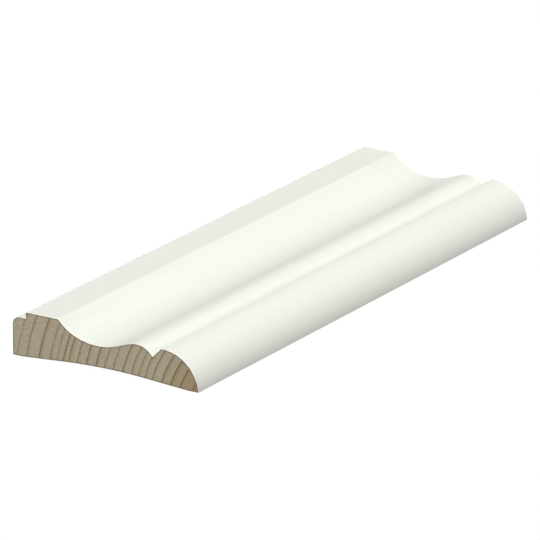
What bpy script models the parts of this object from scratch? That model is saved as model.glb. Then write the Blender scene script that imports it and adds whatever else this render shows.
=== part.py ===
"""A short length of primed pine door casing in a colonial pattern, lying on its back.

All lengths are in metres. +X runs across the casing, from its thick outer edge to its thin inner
edge, +Y runs along its length, and +Z points out of the wall. The origin is the middle of the
underside. The casing is one solid: its cross-section, cut square at both ends.
"""

import math

import bpy
from mathutils import Vector

# The board that the moulding is run from
WIDTH = 0.0889
THICKNESS = 0.01905
LENGTH = 0.2633

# Outer edge: a rounded corner, a narrow ledge, and the riser from it up to the flat band
EDGE_RADIUS = 0.0038
LEDGE_WIDTH = 0.0065
LEDGE_DROP = 0.0026
RISER_EASE = 0.0003

# Flat band at full thickness, and the eased lip where it breaks into the cove
BAND_WIDTH = 0.01555
LIP_SLOPE = math.radians(47.5)
LIP_RADIUS = 0.0016

# Broad cove, lowest halfway between the lip and the bead's crest. The shares are how far each
# Bezier handle reaches over its half of the cove, from the lip to the low point to the crest.
COVE_DROP = 0.0080
FALL_SHARES = (0.44, 0.26)
RISE_SHARES = (0.50, 0.31)

# Bead that the cove swells into, and the V groove behind it
BEAD_RADIUS = 0.0090
BEAD_DROP = 0.00395
GROOVE_DEPTH = 0.0041
GROOVE_SLOPE = math.radians(45)

# Rounded nose from the groove down to the thin inner edge
NOSE_RADIUS = 0.0169
NOSE_DROP = 0.0038
NOSE_LAND = 0.0008

# Relieved back: a flat land along each edge, and between them two shallow slopes whose meeting
# line is rounded. The rise is where the slopes would meet if it weren't.
BACK_LAND = 0.0050
RELIEF_RISE = 0.00282
RELIEF_RADIUS = 0.290

# Facets: the most that a round may turn from one facet to the next, and those in half a cove
FACET_TURN = math.radians(4)
COVE_FACETS = 14

PAINT = (0.75, 0.76, 0.69, 1.0)
PAINT_ROUGHNESS = 0.53


def arc(centre, radius, start, end, most_turn=FACET_TURN):
    """Points on a circle from the angle start to the angle end, both included."""
    steps = max(1, math.ceil(abs(end - start) / most_turn))
    angles = [start + (end - start) * step / steps for step in range(steps + 1)]
    return [centre + radius * Vector((math.cos(a), math.sin(a))) for a in angles]


def fillet(before, corner, after, radius, most_turn=FACET_TURN):
    """An arc in place of a corner, tangent to both its sides and never past halfway along one."""
    inward, outward = (corner - before).normalized(), (after - corner).normalized()
    turn = inward.angle_signed(outward)
    half_side = min((corner - before).length, (after - corner).length) / 2
    setback = min(radius * math.tan(abs(turn) / 2), half_side)
    radius = setback / math.tan(abs(turn) / 2)
    # angle_signed counts a clockwise turn as positive, and an arc's centre is on the inner side.
    side = math.copysign(1, turn)
    to_centre = Vector((inward.y, -inward.x)) * side
    centre = corner - inward * setback + to_centre * radius
    start = math.atan2(-to_centre.y, -to_centre.x)
    return arc(centre, radius, start, start - turn, most_turn)


def bezier(start, start_handle, end_handle, end, steps):
    """Points on a cubic Bezier, without its first, which the line before it already has."""
    points = []
    for step in range(1, steps + 1):
        t = step / steps
        s = 1 - t
        point = start * s**3 + start_handle * 3 * s * s * t
        points.append(point + end_handle * 3 * s * t * t + end * t**3)
    return points


def outer_edge():
    """From the back's outer corner up to the top of the riser, where the flat band begins."""
    ledge = THICKNESS - LEDGE_DROP
    foot = Vector((0, 0))
    shoulder = Vector((0, ledge))
    riser_foot = Vector((LEDGE_WIDTH, ledge))
    riser_top = Vector((LEDGE_WIDTH, THICKNESS))
    band_end = Vector((LEDGE_WIDTH + BAND_WIDTH, THICKNESS))
    points = [foot]
    points += fillet(foot, shoulder, riser_foot, EDGE_RADIUS)
    points.append(riser_foot)
    points += fillet(riser_foot, riser_top, band_end, RISER_EASE, math.radians(30))
    return points


def cove(crest):
    """From the end of the flat band over its eased lip, down the cove and up to the bead's crest."""
    lip = Vector((LEDGE_WIDTH + BAND_WIDTH, THICKNESS))
    fall = Vector((math.cos(LIP_SLOPE), -math.sin(LIP_SLOPE)))
    low = Vector(((lip.x + crest.x) / 2, THICKNESS - COVE_DROP))
    half = low.x - lip.x
    eased = fillet(lip - Vector((BAND_WIDTH, 0)), lip, lip + fall * half, LIP_RADIUS)
    start = eased[-1]
    start_handle = start + fall * half * FALL_SHARES[0]
    points = eased
    points += bezier(start, start_handle, low - Vector((half * FALL_SHARES[1], 0)), low, COVE_FACETS)
    low_handle = low + Vector((half * RISE_SHARES[0], 0))
    crest_handle = crest - Vector((half * RISE_SHARES[1], 0))
    points += bezier(low, low_handle, crest_handle, crest, COVE_FACETS)
    return points


def bead_and_nose():
    """The bead from its crest down into the groove, and the nose from there to the inner edge.

    The nose's round runs into the back, or ends in an upright edge if its centre is above that.
    """
    nose_crest = THICKNESS - NOSE_DROP
    below_back = max(NOSE_RADIUS - nose_crest, 0)
    nose_centre = Vector((WIDTH - math.sqrt(NOSE_RADIUS**2 - below_back**2), nose_crest - NOSE_RADIUS))
    groove_edge = Vector((nose_centre.x - NOSE_LAND, nose_crest))
    groove = groove_edge - Vector((GROOVE_DEPTH / math.tan(GROOVE_SLOPE), GROOVE_DEPTH))
    bead_crest = THICKNESS - BEAD_DROP
    sweep = math.acos(1 - (bead_crest - groove.y) / BEAD_RADIUS)
    bead_centre = Vector((groove.x - BEAD_RADIUS * math.sin(sweep), bead_crest - BEAD_RADIUS))
    points = arc(bead_centre, BEAD_RADIUS, math.pi / 2, math.pi / 2 - sweep)
    points.append(groove_edge)
    points += arc(nose_centre, NOSE_RADIUS, math.pi / 2, math.asin(below_back / NOSE_RADIUS))
    if below_back == 0:
        points.append(Vector((WIDTH, 0)))
    return points


def back():
    """The underside from the inner land over the relief to the outer land's inner end."""
    inner, outer = Vector((WIDTH - BACK_LAND, 0)), Vector((BACK_LAND, 0))
    middle = Vector((WIDTH / 2, RELIEF_RISE))
    points = [inner]
    points += fillet(inner, middle, outer, RELIEF_RADIUS, math.radians(1))
    points.append(outer)
    return points


def section():
    """The whole cross-section, clockwise from the outer corner of the back."""
    inner_side = bead_and_nose()
    return outer_edge() + cove(inner_side[0]) + inner_side[1:] + back()


def paint():
    material = bpy.data.materials.new("primer")
    material.use_nodes = True
    shader = material.node_tree.nodes["Principled BSDF"]
    shader.inputs["Base Color"].default_value = PAINT
    shader.inputs["Roughness"].default_value = PAINT_ROUGHNESS
    shader.inputs["Metallic"].default_value = 0.0
    material.diffuse_color = PAINT
    return material


def casing(collection):
    """The cross-section as a flat outline, thickened along Y by half the length each way."""
    outline = bpy.data.curves.new("casing", "CURVE")
    outline.dimensions = "2D"
    outline.fill_mode = "BOTH"
    outline.extrude = LENGTH / 2
    points = section()
    spline = outline.splines.new("POLY")
    spline.points.add(len(points) - 1)
    for target, point in zip(spline.points, points):
        target.co = (point.x - WIDTH / 2, point.y, 0, 1)
    spline.use_cyclic_u = True
    outline.materials.append(paint())
    obj = bpy.data.objects.new("casing", outline)
    obj.rotation_euler = (math.pi / 2, 0, 0)
    collection.objects.link(obj)


def main():
    for obj in list(bpy.data.objects):
        bpy.data.objects.remove(obj)
    collection = bpy.data.collections.new("door_casing")
    bpy.context.scene.collection.children.link(collection)
    casing(collection)


main()
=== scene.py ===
"""The looks of a primed pine door casing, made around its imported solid.

Lengths are in metres in the solid's own frame: +X runs across the casing from its thick outer
edge to its thin inner edge, +Y along it away from the camera, and +Z out of the wall.
"""

import math
from typing import NamedTuple

import bpy
import numpy as np
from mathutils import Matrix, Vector
from mathutils.geometry import delaunay_2d_cdt


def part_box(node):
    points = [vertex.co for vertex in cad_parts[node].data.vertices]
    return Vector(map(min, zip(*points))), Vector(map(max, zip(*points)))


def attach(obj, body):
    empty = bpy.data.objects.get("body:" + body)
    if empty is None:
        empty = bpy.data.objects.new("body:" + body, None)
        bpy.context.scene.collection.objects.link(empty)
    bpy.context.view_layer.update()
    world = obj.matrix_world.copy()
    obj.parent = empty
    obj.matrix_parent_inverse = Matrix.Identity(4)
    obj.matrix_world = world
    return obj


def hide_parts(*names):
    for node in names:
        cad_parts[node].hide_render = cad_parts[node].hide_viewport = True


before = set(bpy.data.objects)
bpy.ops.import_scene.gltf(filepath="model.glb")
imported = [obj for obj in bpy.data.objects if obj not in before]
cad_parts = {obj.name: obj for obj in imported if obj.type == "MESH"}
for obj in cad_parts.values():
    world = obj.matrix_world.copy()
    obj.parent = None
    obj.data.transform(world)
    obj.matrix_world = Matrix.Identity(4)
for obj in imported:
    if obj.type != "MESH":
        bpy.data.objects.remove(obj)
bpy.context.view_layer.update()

LOW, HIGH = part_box("casing")

# The photograph's view: where the camera looks, from which way and how far, its long lens, and how
# far it sees
AZIMUTH = math.radians(31.85)
ELEVATION = math.radians(18.41)
AIM = Vector((0.0382, -0.0676, 0.0324))
DISTANCE = 2.792
LENS_MM = 459.7
CLIP_END = 100

# Light: a soft key above the casing, a low one beside its thin edge, what the paper throws back
# up onto its thick edge and far end, and a weak fill all round. Each lamp has the way towards it,
# its strength and how wide it is.
LAMPS = {
    "key": (Vector((0.235, -0.38, 0.972)), 3.39, math.radians(22)),
    "side": (Vector((0.899, -0.38, 0.438)), 0.78, math.radians(22)),
    "paper": (Vector((-0.70, 0.62, -0.42)), 2.30, math.radians(50)),
}
FILL = 0.105
FLOOR_SIZE = 40.0
FLOOR_GLOW = 0.98
FLOOR_SHADE = 0.03
FLOOR_ROUGHNESS = 0.9

# The solid's near end: the points this close to its plane, with their places rounded to so many
# decimals of a metre
ON_END = 1e-5
DECIMALS = 6

# Outline: a turn above SHARP_TURN stays a corner, and a side STRAIGHT_RATIO times as long as its
# neighbour stays straight there. The rest is drawn in steps no larger than FINE_TURN and
# FINE_STEP. CREASE is the least turn between faces that shades as an edge, and STATIONS is how
# many cross-sections there are along the length.
SHARP_TURN = math.radians(35)
STRAIGHT_RATIO = 3.0
FINE_TURN = math.radians(1.3)
FINE_STEP = 0.0015
CREASE = math.radians(2.6)
STATIONS = 24

# The primer coat, its rounded cut edge, how far in from that its plain length starts, and the
# shortest side that the wood under it keeps
COAT = 0.00007
COAT_EASE = 0.00005
EASE_STEPS = 4
PLAIN_INSET = 0.004
LEAST_SIDE = 0.00003

# The dark rim of the sawn ends: how far in it reaches, and how strong it is below and above these
# heights
RIM_DEPTH = 0.0009
RIM_HEIGHT = (0.008, 0.012)
RIM_SHARE = (0.90, 0.70)

# Millimetres in a metre
MM = 1000

# The points of a sawn end's mesh: rows at these depths along its rim, without those that another
# part of the outline lies closer to, and a grid inside them. It is made in millimetres, and points
# of it within WELD are one.
RIM_ROWS = (0.00015, 0.00045, 0.0009)
ROW_SLACK = 0.97
END_GRID = 0.0009
WELD = 1e-6

# The picture that the wood's colours can be baked to: its margins, and how high the back starts
# and ends in it. Both sawn ends lie below the back, and the sides under the primer above it.
BAKE_MARGIN = 0.008
BAKE_BACK = (0.45, 0.78)

# Painted highlight for the light that the primer's cut edge catches: how far in from its cut ends
# the primer is painted whiter, where that ends and where it is full
ARRIS_HIGHLIGHT_FADE = (0.0012, 0.0004)

# Latewood, in millimetres before the end of a year: where its line and its haze begin and are
# full, and over what the line's sharp outer side fades
LINE_MM = (1.30, 0.38)
HAZE_MM = (3.0, 0.3)
LINE_EDGE_MM = 0.12

# Between these distances from the pith the wood turns to the darker heart
HEART = (0.056, 0.038)

# The tree: where its pith lies from the casing's outer bottom corner, how far the pith leans over
# a metre of length, how far its rings drift off centre as they grow, how far out its years are
# first told apart, and from there each year's growth in millimetres with how dark its latewood
# line is and the haze before that line. No year grows more than WIDEST_MM.
PITH = Vector((LOW.x + 0.12092, 0, LOW.z - 0.0082))
PITH_LEAN = 0.006
RING_DRIFT = Vector((-0.1477, 0, -0.0646))
RING_WOBBLE = 0.00015
INNERMOST = 0.0313
WIDEST_MM = 10.0
YEARS = (
    (5.95, 0.88, 0.32), (5.90, 0.95, 0.26), (4.50, 0.97, 0.45), (4.27, 0.85, 0.28),
    (4.58, 0.75, 0.10), (3.53, 0.72, 0.22), (3.10, 0.54, 0.06), (3.31, 0.66, 0.12),
    (4.15, 0.84, 0.18), (4.63, 0.62, 0.08), (4.02, 0.62, 0.04), (3.97, 0.88, 0.28),
    (4.58, 0.85, 0.18), (4.40, 0.69, 0.12), (3.97, 0.73, 0.38), (2.53, 0.90, 0.12),
    (3.07, 0.50, 0.04), (3.27, 0.59, 0.12), (5.22, 0.84, 0.36), (5.88, 0.65, 0.08),
    (4.69, 0.50, 0.10), (2.48, 0.09, 0.04), (4.50, 0.30, 0.10),
)

# Colours of the pine and the primer, in linear light
EARLYWOOD = (0.634, 0.577, 0.445, 1.0)
WARMWOOD = (0.617, 0.526, 0.360, 1.0)
LATEWOOD = (0.330, 0.208, 0.088, 1.0)
HEARTWOOD = (0.515, 0.409, 0.252, 1.0)
SAWN_RIM = (0.30, 0.22, 0.13, 1.0)
FIBRE_DARK = (0.80, 0.78, 0.71, 1.0)
FIBRE_PALE = (1.20, 1.22, 1.28, 1.0)
PRIMER = (0.745, 0.756, 0.688, 1.0)
PRIMER_CHALK = (0.785, 0.794, 0.735, 1.0)
# Primer painted whiter along its cut ends, a painted highlight standing in for light on the arris
PAINTED_ARRIS_HIGHLIGHT = (0.815, 0.825, 0.770, 1.0)

# Noise: how many times it varies over a metre of X, Y and Z, its detail and its roughness. That of
# the rays runs round the pith and out from it instead, and round it an angle of one radian counts
# as RAY_REACH.
RING_BEND = ((70, 9, 70), 1.0, 0.5)
WARM_PATCHES = ((700, 60, 700), 2.0, 0.5)
RAYS = ((3000, 380, 1), 2.0, 0.5)
RAY_REACH = 0.085
MOTTLE = ((2800, 60, 2800), 1.0, 0.5)
FIBRES = ((3000, 35, 3000), 4.0, 0.6)
MIST = ((900, 500, 900), 5.0, 0.7)
STREAKS = ((900, 14, 900), 3.0, 0.5)
PEEL = ((1100, 700, 1100), 2.0, 0.5)
SHEEN = ((220, 60, 220), 3.0, 0.5)

# Between which values of its noise each of these goes from none to full. The streaks' range is
# also that of the fibres and the sheen.
PATCH_RANGE = (0.35, 0.65)
GRAIN_RANGE = (0.28, 0.72)
STREAK_RANGE = (0.3, 0.7)
MIST_RANGE = (0.25, 0.5)

# On the planed back: how much of the latewood's darkness shows, how the fibres shade it, how the
# overspray thins over a metre in from the edges, and the planer knives' marks
BACK_LATE = 0.75
FIBRE_SHADE = (0.92, 1.06)
MIST_FALL = 90.0
KNIFE_SCALE = 95.0
KNIFE_WANDER = 0.3

# How chalky the primer's streaks are
STREAK_SHARE = (0.0, 0.25)

# Gloss, and the depth of the relief
END_ROUGHNESS, END_SPECULAR, END_RELIEF = 0.78, 0.25, 0.00006
BACK_ROUGHNESS, BACK_SPECULAR, BACK_RELIEF = 0.7, 0.3, 0.00003
PRIMER_ROUGHNESS, PRIMER_SPECULAR, PRIMER_RELIEF = (0.48, 0.58), 0.35, 0.00001


def unit(vectors):
    return vectors / np.linalg.norm(vectors, axis=-1, keepdims=True)


def near_outline():
    """The solid's cross-section as (x, z), anticlockwise from the outer corner of its back."""
    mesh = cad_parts["casing"].data
    keys = [(round(v.co.x, DECIMALS), round(v.co.z, DECIMALS)) for v in mesh.vertices]
    near = [abs(v.co.y - LOW.y) < ON_END for v in mesh.vertices]
    edges = set()
    for face in mesh.polygons:
        around = list(face.vertices)
        if all(near[i] for i in around):
            edges |= {(keys[a], keys[b]) for a, b in zip(around, around[1:] + around[:1])}
    follows = {a: b for a, b in edges if (b, a) not in edges}
    start = min(follows, key=sum)
    loop = [start]
    while follows[loop[-1]] != start:
        loop.append(follows[loop[-1]])
    return np.array(loop)


def smoothed(path):
    """An open path with its rounds drawn as curves through the same points, corners kept."""
    sides = np.diff(path, axis=0)
    ahead, behind = np.vstack([sides, sides[-1:]]), np.vstack([sides[:1], sides])
    long_ahead, long_behind = np.linalg.norm(ahead, axis=1), np.linalg.norm(behind, axis=1)
    leaving, arriving = unit(ahead), unit(behind)
    turn = np.arccos(np.clip((leaving * arriving).sum(1), -1, 1))
    tangent = unit(arriving / long_behind[:, None] + leaving / long_ahead[:, None])
    straight_on = long_ahead > STRAIGHT_RATIO * long_behind
    straight_in = long_behind > STRAIGHT_RATIO * long_ahead
    tangent[straight_on], tangent[straight_in] = leaving[straight_on], arriving[straight_in]
    corner = turn > SHARP_TURN
    leave = np.where(corner[:, None], leaving, tangent)
    arrive = np.where(corner[:, None], arriving, tangent)
    points = []
    for i, j in zip(range(len(path)), range(1, len(path))):
        bend = math.acos(min(1.0, float(leave[i] @ arrive[j])))
        steps = max(1, math.ceil(bend / FINE_TURN), math.ceil(long_ahead[i] / FINE_STEP))
        t = np.arange(steps)[:, None] / steps
        s = 1 - t
        reach = long_ahead[i] / 3
        first, last = path[i] + leave[i] * reach, path[j] - arrive[j] * reach
        curve = s**3 * path[i] + 3 * s * s * t * first + 3 * s * t * t * last + t**3 * path[j]
        points.append(curve)
    return np.vstack([*points, path[-1:]])


def divided(path):
    """An open path with the same corners and its sides cut into steps of at most FINE_STEP."""
    points = []
    for start, end in zip(path, path[1:]):
        steps = math.ceil(np.linalg.norm(end - start) / FINE_STEP)
        points.append(start + (end - start) * np.arange(steps)[:, None] / steps)
    return np.vstack([*points, path[-1:]])


def inset(path, depth):
    """An open path moved to its left by depth, with mitred corners."""
    along = unit(np.diff(path, axis=0))
    left = np.c_[-along[:, 1], along[:, 0]]
    before, after = np.vstack([left[:1], left]), np.vstack([left, left[-1:]])
    middle = unit(before + after)
    return path + middle * (depth / (middle * before).sum(1))[:, None]


def on_floor(point, towards):
    """Where the line from point along towards meets the casing's underside."""
    return point + towards * (LOW.z - point[1]) / towards[1]


def new_object(name, points, faces, materials):
    mesh = bpy.data.meshes.new(name)
    mesh.from_pydata([tuple(p) for p in points], [], faces)
    for material in materials:
        mesh.materials.append(material)
    obj = bpy.data.objects.new(name, mesh)
    bpy.context.scene.collection.objects.link(obj)
    return obj


def finish_shading(obj):
    obj.data.update()
    obj.data.shade_smooth()
    obj.data.set_sharp_from_angle(angle=CREASE)


def spaced(path):
    """An open path without the points that lie closer than LEAST_SIDE to the one before."""
    kept = [path[0]]
    for point in path[1:-1]:
        if min(np.linalg.norm(point - kept[-1]), np.linalg.norm(point - path[-1])) > LEAST_SIDE:
            kept.append(point)
    return np.array([*kept, path[-1]])


def lowered(path, depth):
    """A path that ends on the casing's underside, moved in by depth and still ending there."""
    moved = inset(path, depth)
    moved[0] = on_floor(moved[0], path[1] - path[0])
    moved[-1] = on_floor(moved[-1], path[-1] - path[-2])
    return moved


def section_paths():
    """The coated part of the section, from the back's inner corner over the face to its outer one,
    the same path at the bottom of the coat, the closed outline of the wood inside the coat, and how
    many of its sides are the bare back. They come first."""
    loop = near_outline()
    inner_corner = int(np.argmax(loop[:, 0] - loop[:, 1]))
    outside = smoothed(np.vstack([loop[inner_corner:], loop[:1]]))
    inside = lowered(outside, COAT)
    back = divided(np.vstack([inside[-1:], loop[1:inner_corner], inside[:1]]))
    return outside, inside, np.vstack([back[:-1], spaced(inside)[:-1]]), len(back) - 1


def coat(outside, inside, material):
    """The primer as a thin closed shell: C-shaped in section, with its cut edges rounded."""
    turns = [math.pi / 2 * step / EASE_STEPS for step in range(EASE_STEPS + 1)]
    round_in = [(COAT_EASE * (1 - math.sin(t)), COAT_EASE * (1 - math.cos(t))) for t in turns]
    plain = np.linspace(LOW.y + PLAIN_INSET, HIGH.y - PLAIN_INSET, STATIONS)
    stations = [(LOW.y + back, depth) for depth, back in round_in]
    stations += [(y, 0.0) for y in plain]
    stations += [(HIGH.y - back, depth) for depth, back in reversed(round_in)]
    count = len(outside)
    points, faces = [], []
    for y, depth in stations:
        ring = np.vstack([lowered(outside, depth) if depth else outside, inside[::-1]])
        points += [(x, y, z) for x, z in ring]
    size = 2 * count
    for i in range(len(stations) - 1):
        for j in range(size):
            k = (j + 1) % size
            faces.append((i * size + k, i * size + j, (i + 1) * size + j, (i + 1) * size + k))
    top = (len(stations) - 1) * size
    for j in range(count - 1):
        across = size - 1 - j
        faces.append((j, j + 1, across - 1, across))
        faces.append((top + j + 1, top + j, top + across, top + across - 1))
    return new_object("primer_coat", points, faces, [material])


def distance_to(loop, points):
    """How far each point is from a closed outline."""
    best = np.full(len(points), np.inf)
    for a, b in zip(loop, np.roll(loop, -1, axis=0)):
        side = b - a
        share = np.clip(((points - a) @ side) / (side @ side), 0, 1)
        best = np.minimum(best, np.linalg.norm(points - (a + share[:, None] * side), axis=1))
    return best


def inside_of(loop, points):
    """Which points a closed outline holds, by counting the sides that each one's ray crosses."""
    held = np.zeros(len(points), bool)
    for a, b in zip(loop, np.roll(loop, -1, axis=0)):
        if a[1] != b[1]:
            spans = (a[1] > points[:, 1]) != (b[1] > points[:, 1])
            crossing = a[0] + (points[:, 1] - a[1]) * (b[0] - a[0]) / (b[1] - a[1])
            held ^= spans & (points[:, 0] < crossing)
    return held


def end_face(loop):
    """A triangle mesh of the sawn end, fine along its rim: the points and the triangles."""
    closed = np.vstack([loop, loop[:1]])
    rows = [inset(closed, depth)[:-1] for depth in RIM_ROWS]
    kept = [row[inside_of(loop, row) & (distance_to(loop, row) > ROW_SLACK * depth)]
            for row, depth in zip(rows, RIM_ROWS)]
    x = np.arange(loop[:, 0].min(), loop[:, 0].max(), END_GRID)
    z = np.arange(loop[:, 1].min(), loop[:, 1].max(), END_GRID)
    grid = np.stack(np.meshgrid(x, z), -1).reshape(-1, 2)
    grid = grid[inside_of(loop, grid)]
    kept.append(grid[distance_to(loop, grid) > RIM_ROWS[-1] + END_GRID / 2])
    points = np.vstack([loop, *kept])
    edges = [(i, (i + 1) % len(loop)) for i in range(len(loop))]
    made = delaunay_2d_cdt([Vector(p) for p in points * MM], edges, [], 1, WELD)
    return np.array([tuple(p) for p in made[0]]) / MM, [tuple(t) for t in made[2]]


def bake_places(flat, triangles, loop, bare):
    """Where each corner of the wood's faces lies in the baked picture. Each sawn end is drawn as
    wide as the picture, and so is the length of the back and sides."""
    wide = 1 - 2 * BAKE_MARGIN
    near = BAKE_MARGIN + (flat - flat.min(0)) * wide / np.ptp(flat[:, 0])
    far = near + (0, np.ptp(near[:, 1]) + BAKE_MARGIN)
    ends = [near[i] for t in triangles for i in t]
    ends += [far[i] for t in triangles for i in reversed(t)]
    lengths = np.linalg.norm(np.roll(loop, -1, axis=0) - loop, axis=1)
    sides_band = (BAKE_BACK[1] + BAKE_MARGIN, 1 - BAKE_MARGIN)
    rises = [low + (high - low) * np.r_[0, np.cumsum(part)] / part.sum()
             for part, (low, high) in ((lengths[:bare], BAKE_BACK), (lengths[bare:], sides_band))]
    start = np.concatenate([rise[:-1] for rise in rises])
    end = np.concatenate([rise[1:] for rise in rises])
    along = np.linspace(BAKE_MARGIN, 1 - BAKE_MARGIN, STATIONS)
    u = np.stack([along[:-1], along[:-1], along[1:], along[1:]], -1)[:, None]
    v = np.stack([end, start, start, end], -1)[None]
    sides = np.stack(np.broadcast_arrays(u, v), -1)
    return np.vstack([*ends, sides.reshape(-1, 2)])


def wood(loop, bare, end_material, back_material):
    """The pine inside the coat: both sawn ends, the bare back, and the sides under the primer."""
    flat, triangles = end_face(loop)
    count, outline = len(flat), len(loop)
    points = [(x, LOW.y, z) for x, z in flat] + [(x, HIGH.y, z) for x, z in flat]
    rim = np.tile(distance_to(loop, flat), 2)
    faces = [tuple(t) for t in triangles]
    faces += [tuple(count + i for i in reversed(t)) for t in triangles]
    ends = len(faces)
    rings = [list(range(outline))]
    for y in np.linspace(LOW.y, HIGH.y, STATIONS)[1:-1]:
        rings.append(list(range(len(points), len(points) + outline)))
        points += [(x, y, z) for x, z in loop]
    rings.append([count + i for i in range(outline)])
    for near, far in zip(rings, rings[1:]):
        for i in range(outline):
            j = (i + 1) % outline
            faces.append((near[j], near[i], far[i], far[j]))
    obj = new_object("pine", points, faces, [end_material, back_material])
    index = np.ones(len(faces), np.int32)
    index[:ends] = 0
    obj.data.polygons.foreach_set("material_index", index)
    attribute = obj.data.attributes.new("rim", "FLOAT", "POINT")
    values = np.zeros(len(points), np.float32)
    values[: len(rim)] = rim
    attribute.data.foreach_set("value", values)
    places = bake_places(flat, triangles, loop, bare).astype(np.float32)
    obj.data.uv_layers.new(name="OFBake").uv.foreach_set("vector", places.ravel())
    return obj


class Shader:
    """A node material, with short ways to add to it. A value is a socket or a plain number."""

    def __init__(self, name):
        self.material = bpy.data.materials.new(name)
        self.material.use_nodes = True
        self.tree = self.material.node_tree
        self.tree.nodes.clear()

    def node(self, kind, inputs=None, **settings):
        made = self.tree.nodes.new("ShaderNode" + kind)
        for name, value in settings.items():
            setattr(made, name, value)
        for name, value in (inputs or {}).items():
            if isinstance(value, bpy.types.NodeSocket):
                self.tree.links.new(value, made.inputs[name])
            else:
                made.inputs[name].default_value = value
        return made

    def math(self, operation, *values):
        return self.node("Math", dict(enumerate(values)), operation=operation).outputs[0]

    def total(self, *terms):
        """The sum of the terms, each a value and its share."""
        first, *rest = [self.math("MULTIPLY", value, share) for value, share in terms]
        for term in rest:
            first = self.math("ADD", first, term)
        return first

    def length(self, x, z):
        squares = self.math("POWER", x, 2), self.math("POWER", z, 2)
        return self.math("SQRT", self.math("ADD", *squares))

    def ramp(self, value, start, end, low=0.0, high=1.0):
        """value, mapped smoothly from start..end to low..high."""
        inputs = {"Value": value, "From Min": start, "From Max": end, "To Min": low, "To Max": high}
        return self.node("MapRange", inputs, interpolation_type="SMOOTHSTEP").outputs["Result"]

    def part(self, vector, axis):
        return self.node("SeparateXYZ", {"Vector": vector}).outputs[axis]

    def noise(self, vector, times, detail, roughness):
        """Noise that varies so many times over a metre of each axis of vector."""
        stretched = self.node("VectorMath", {0: vector, 1: times}, operation="MULTIPLY")
        inputs = {"Vector": stretched.outputs["Vector"], "Scale": 1.0}
        inputs |= {"Detail": detail, "Roughness": roughness}
        return self.node("TexNoise", inputs).outputs["Fac"]

    def mix(self, share, first, second, blend="MIX"):
        """Colour first, or second where share is 1."""
        # Sockets 6 and 7 take the two colours, and output 2 gives the one made of them.
        inputs = {0: share, 6: first, 7: second}
        return self.node("Mix", inputs, data_type="RGBA", blend_type=blend).outputs[2]

    def curve(self, value, points):
        """value through a curve of straight stretches, with both axes from 0 to 1."""
        made = self.node("FloatCurve", {"Value": value})
        line = made.mapping.curves[0]
        line.points[0].location, line.points[1].location = points[0], points[-1]
        for x, y in points[1:-1]:
            line.points.new(x, y)
        for point in line.points:
            point.handle_type = "VECTOR"
        made.mapping.update()
        return made.outputs[0]

    def relief(self, height, depth):
        """The normal of relief depth metres deep, with height from 0 to 1."""
        inputs = {"Height": height, "Distance": depth, "Strength": 1.0}
        return self.node("Bump", inputs).outputs["Normal"]

    def surface(self, colour, roughness, specular, more):
        """The Principled shader, with more of its sockets by name."""
        inputs = {"Base Color": colour, "Roughness": roughness, "Specular IOR Level": specular}
        shader = self.node("BsdfPrincipled", inputs | more)
        self.node("OutputMaterial", {"Surface": shader.outputs["BSDF"]})
        return self.material


class Growth(NamedTuple):
    """The pine's growth at a place: how dark its latewood is, how far out in the tree's years it
    lies, how far it is from the pith across the casing and above it, and the place itself."""

    late: bpy.types.NodeSocket
    radius: bpy.types.NodeSocket
    across: bpy.types.NodeSocket
    above: bpy.types.NodeSocket
    place: bpy.types.NodeSocket


def growth(s):
    """The one tree that every material shows."""
    place = s.node("TexCoord").outputs["Object"]
    x, y, z = (s.part(place, axis) for axis in "XYZ")
    lean = s.math("MULTIPLY", s.math("SUBTRACT", y, LOW.y), PITH_LEAN)
    across = s.math("SUBTRACT", s.math("SUBTRACT", x, PITH.x), lean)
    above = s.math("SUBTRACT", z, PITH.z)
    from_pith = s.length(across, above)
    across_ring = s.math("SUBTRACT", across, s.math("MULTIPLY", from_pith, RING_DRIFT.x))
    above_ring = s.math("SUBTRACT", above, s.math("MULTIPLY", from_pith, RING_DRIFT.z))
    grown = s.math("DIVIDE", s.length(across_ring, above_ring), 1 + RING_DRIFT.x)
    bend = s.math("SUBTRACT", s.noise(place, *RING_BEND), 0.5)
    radius = s.math("ADD", grown, s.math("MULTIPLY", bend, 2 * RING_WOBBLE))
    widths, lines, hazes = zip(*YEARS)
    count, span = len(YEARS), sum(widths) / MM
    reached = np.cumsum(widths) / MM / span
    growing = [(0.0, 0.0)] + [(float(share), (i + 1) / count) for i, share in enumerate(reached)]
    share = s.math("DIVIDE", s.math("SUBTRACT", radius, INNERMOST), span)
    age = s.math("MULTIPLY", s.curve(share, growing), count)
    middle = s.math("DIVIDE", s.math("ADD", s.math("FLOOR", age), 0.5), count)

    def of_year(values):
        steps = [((i + 0.5) / count, value) for i, value in enumerate(values)]
        return s.curve(middle, [(0.0, values[0]), *steps, (1.0, values[-1])])

    width = s.math("MULTIPLY", of_year([each / WIDEST_MM for each in widths]), WIDEST_MM)
    to_come = s.math("MULTIPLY", s.math("SUBTRACT", 1.0, s.math("FRACT", age)), width)
    line = s.math("MULTIPLY", s.ramp(to_come, *LINE_MM), of_year(lines))
    haze = s.math("MULTIPLY", s.ramp(to_come, *HAZE_MM), of_year(hazes))
    late = s.math("MAXIMUM", line, haze)
    late = s.math("MULTIPLY", late, s.ramp(to_come, 0.0, LINE_EDGE_MM))
    return Growth(late, radius, across, above, place)


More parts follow.
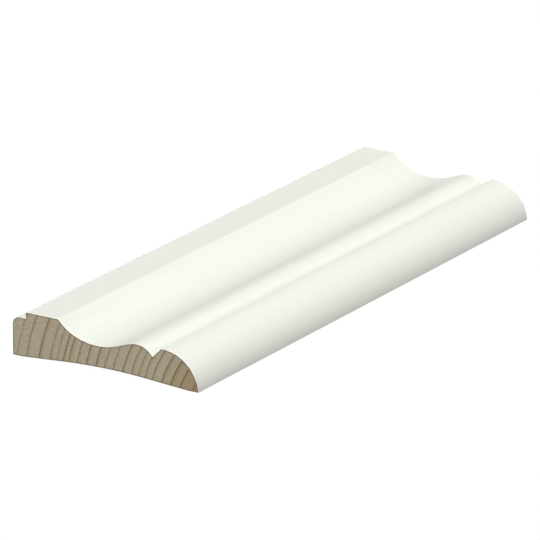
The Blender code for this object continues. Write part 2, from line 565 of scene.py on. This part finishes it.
def end_grain():
    """Sawn pine: dark latewood lines with one sharp side, faint rays across them, a dark rim."""
    s = Shader("pine_end_grain")
    pine = growth(s)
    patches = s.ramp(s.noise(pine.place, *WARM_PATCHES), *PATCH_RANGE)
    colour = s.mix(patches, EARLYWOOD, WARMWOOD)
    colour = s.mix(s.ramp(pine.radius, *HEART), colour, HEARTWOOD)
    colour = s.mix(pine.late, colour, LATEWOOD)
    angle = s.math("ARCTAN2", pine.above, s.math("MULTIPLY", pine.across, -1.0))
    round_pith = s.math("MULTIPLY", angle, RAY_REACH)
    ray_place = s.node("CombineXYZ", {"X": round_pith, "Y": pine.radius}).outputs["Vector"]
    grain = s.total((s.noise(ray_place, *RAYS), 0.5), (s.noise(pine.place, *MOTTLE), 0.5))
    tint = s.mix(s.ramp(grain, *GRAIN_RANGE), FIBRE_DARK, FIBRE_PALE)
    colour = s.mix(1.0, colour, tint, "MULTIPLY")
    rim = s.ramp(s.node("Attribute", attribute_name="rim").outputs["Fac"], RIM_DEPTH, 0.0)
    soaked = s.ramp(s.part(pine.place, "Z"), *RIM_HEIGHT, *RIM_SHARE)
    colour = s.mix(s.math("MULTIPLY", rim, soaked), colour, SAWN_RIM)
    normal = s.relief(s.total((pine.late, 0.5), (grain, 0.5)), END_RELIEF)
    return s.surface(colour, END_ROUGHNESS, END_SPECULAR, {"Normal": normal})


def bare_back():
    """Planed pine: the same growth rings along the grain, fine fibres, and primer overspray."""
    s = Shader("pine_planed_back")
    pine = growth(s)
    colour = s.mix(s.ramp(pine.radius, *HEART), EARLYWOOD, HEARTWOOD)
    colour = s.mix(s.math("MULTIPLY", pine.late, BACK_LATE), colour, LATEWOOD)
    fibres = s.noise(pine.place, *FIBRES)
    shade = s.ramp(fibres, *STREAK_RANGE, *FIBRE_SHADE)
    colour = s.node("HueSaturation", {"Color": colour, "Value": shade}).outputs["Color"]
    in_from_edge = s.math("SUBTRACT", HIGH.x, s.math("ABSOLUTE", s.part(pine.place, "X")))
    thinned = s.math("MULTIPLY", in_from_edge, MIST_FALL)
    sprayed = s.ramp(s.math("SUBTRACT", s.noise(pine.place, *MIST), thinned), *MIST_RANGE)
    colour = s.mix(sprayed, colour, PRIMER)
    marks = {"Vector": pine.place, "Scale": KNIFE_SCALE, "Distortion": KNIFE_WANDER}
    knife = s.node("TexWave", marks, bands_direction="Y").outputs["Fac"]
    normal = s.relief(s.total((knife, 0.3), (fibres, 0.7)), BACK_RELIEF)
    return s.surface(colour, BACK_ROUGHNESS, BACK_SPECULAR, {"Normal": normal})


def primer():
    """Satin off-white primer, with the faint ripple of the knives and the grain under it, and a
    painted highlight along its cut ends.
    """
    s = Shader("off_white_primer")
    pine = growth(s)
    streaks = s.noise(pine.place, *STREAKS)
    colour = s.mix(s.ramp(streaks, *STREAK_RANGE, *STREAK_SHARE), PRIMER, PRIMER_CHALK)
    in_from_end = s.math("SUBTRACT", HIGH.y, s.math("ABSOLUTE", s.part(pine.place, "Y")))
    # Painted highlight: the primer is painted whiter near its cut ends, where light would catch the
    # arris
    colour = s.mix(s.ramp(in_from_end, *ARRIS_HIGHLIGHT_FADE), colour, PAINTED_ARRIS_HIGHLIGHT)
    roughness = s.ramp(s.noise(pine.place, *SHEEN), *STREAK_RANGE, *PRIMER_ROUGHNESS)
    peel = s.noise(pine.place, *PEEL)
    normal = s.relief(s.total((streaks, 0.45), (peel, 0.35), (pine.late, 0.2)), PRIMER_RELIEF)
    return s.surface(colour, roughness, PRIMER_SPECULAR, {"Normal": normal})


def white_floor():
    """Paper lit from behind, so that the casing's shadow on it is faint."""
    s = Shader("white_floor")
    shade = (FLOOR_SHADE, FLOOR_SHADE, FLOOR_SHADE, 1.0)
    glow = {"Emission Color": (1.0, 1.0, 1.0, 1.0), "Emission Strength": FLOOR_GLOW}
    return s.surface(shade, FLOOR_ROUGHNESS, 0.0, glow)


def make_floor():
    """A plain white floor, which throws no light back up onto the casing."""
    bpy.ops.mesh.primitive_plane_add(size=FLOOR_SIZE, location=(0, 0, LOW.z))
    floor = bpy.context.object
    floor.name = "floor"
    floor.data.materials.append(white_floor())
    floor.visible_diffuse = False
    floor.visible_glossy = False
    floor.visible_shadow = False


def make_light():
    for name, (towards, strength, width) in LAMPS.items():
        light = bpy.data.lights.new(name, "SUN")
        light.energy = strength
        light.angle = width
        lamp = bpy.data.objects.new(name, light)
        lamp.rotation_euler = towards.to_track_quat("Z", "Y").to_euler()
        bpy.context.scene.collection.objects.link(lamp)
    world = bpy.data.worlds.new("studio")
    world.use_nodes = True
    bpy.context.scene.world = world
    tree = world.node_tree
    tree.nodes.clear()
    seen = tree.nodes.new("ShaderNodeLightPath")
    fill = tree.nodes.new("ShaderNodeBackground")
    fill.inputs["Strength"].default_value = FILL
    white = tree.nodes.new("ShaderNodeBackground")
    mix = tree.nodes.new("ShaderNodeMixShader")
    output = tree.nodes.new("ShaderNodeOutputWorld")
    for shade in (fill, white):
        shade.inputs["Color"].default_value = (1, 1, 1, 1)
    tree.links.new(seen.outputs["Is Camera Ray"], mix.inputs[0])
    tree.links.new(fill.outputs[0], mix.inputs[1])
    tree.links.new(white.outputs[0], mix.inputs[2])
    tree.links.new(mix.outputs[0], output.inputs["Surface"])
    # The light tree's choice of lamps leaves specks along the ledge and the groove.
    bpy.context.scene.cycles.use_light_tree = False


def make_camera():
    back = Vector((
        math.sin(AZIMUTH) * math.cos(ELEVATION),
        -math.cos(AZIMUTH) * math.cos(ELEVATION),
        math.sin(ELEVATION),
    ))
    data = bpy.data.cameras.new("camera")
    data.lens = LENS_MM
    data.clip_end = CLIP_END
    camera = bpy.data.objects.new("camera", data)
    camera.location = AIM + back * DISTANCE
    camera.rotation_euler = back.to_track_quat("Z", "Y").to_euler()
    bpy.context.scene.collection.objects.link(camera)
    bpy.context.scene.camera = camera


def main():
    scene = bpy.context.scene
    scene.view_settings.view_transform = "Standard"
    outside, inside, outline, bare = section_paths()
    pieces = {
        "primer": coat(outside, inside, primer()),
        "bare_pine": wood(outline, bare, end_grain(), bare_back()),
    }
    for slot, piece in pieces.items():
        finish_shading(piece)
        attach(piece, "root")
        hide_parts("casing")
    make_floor()
    make_light()
    make_camera()


main()
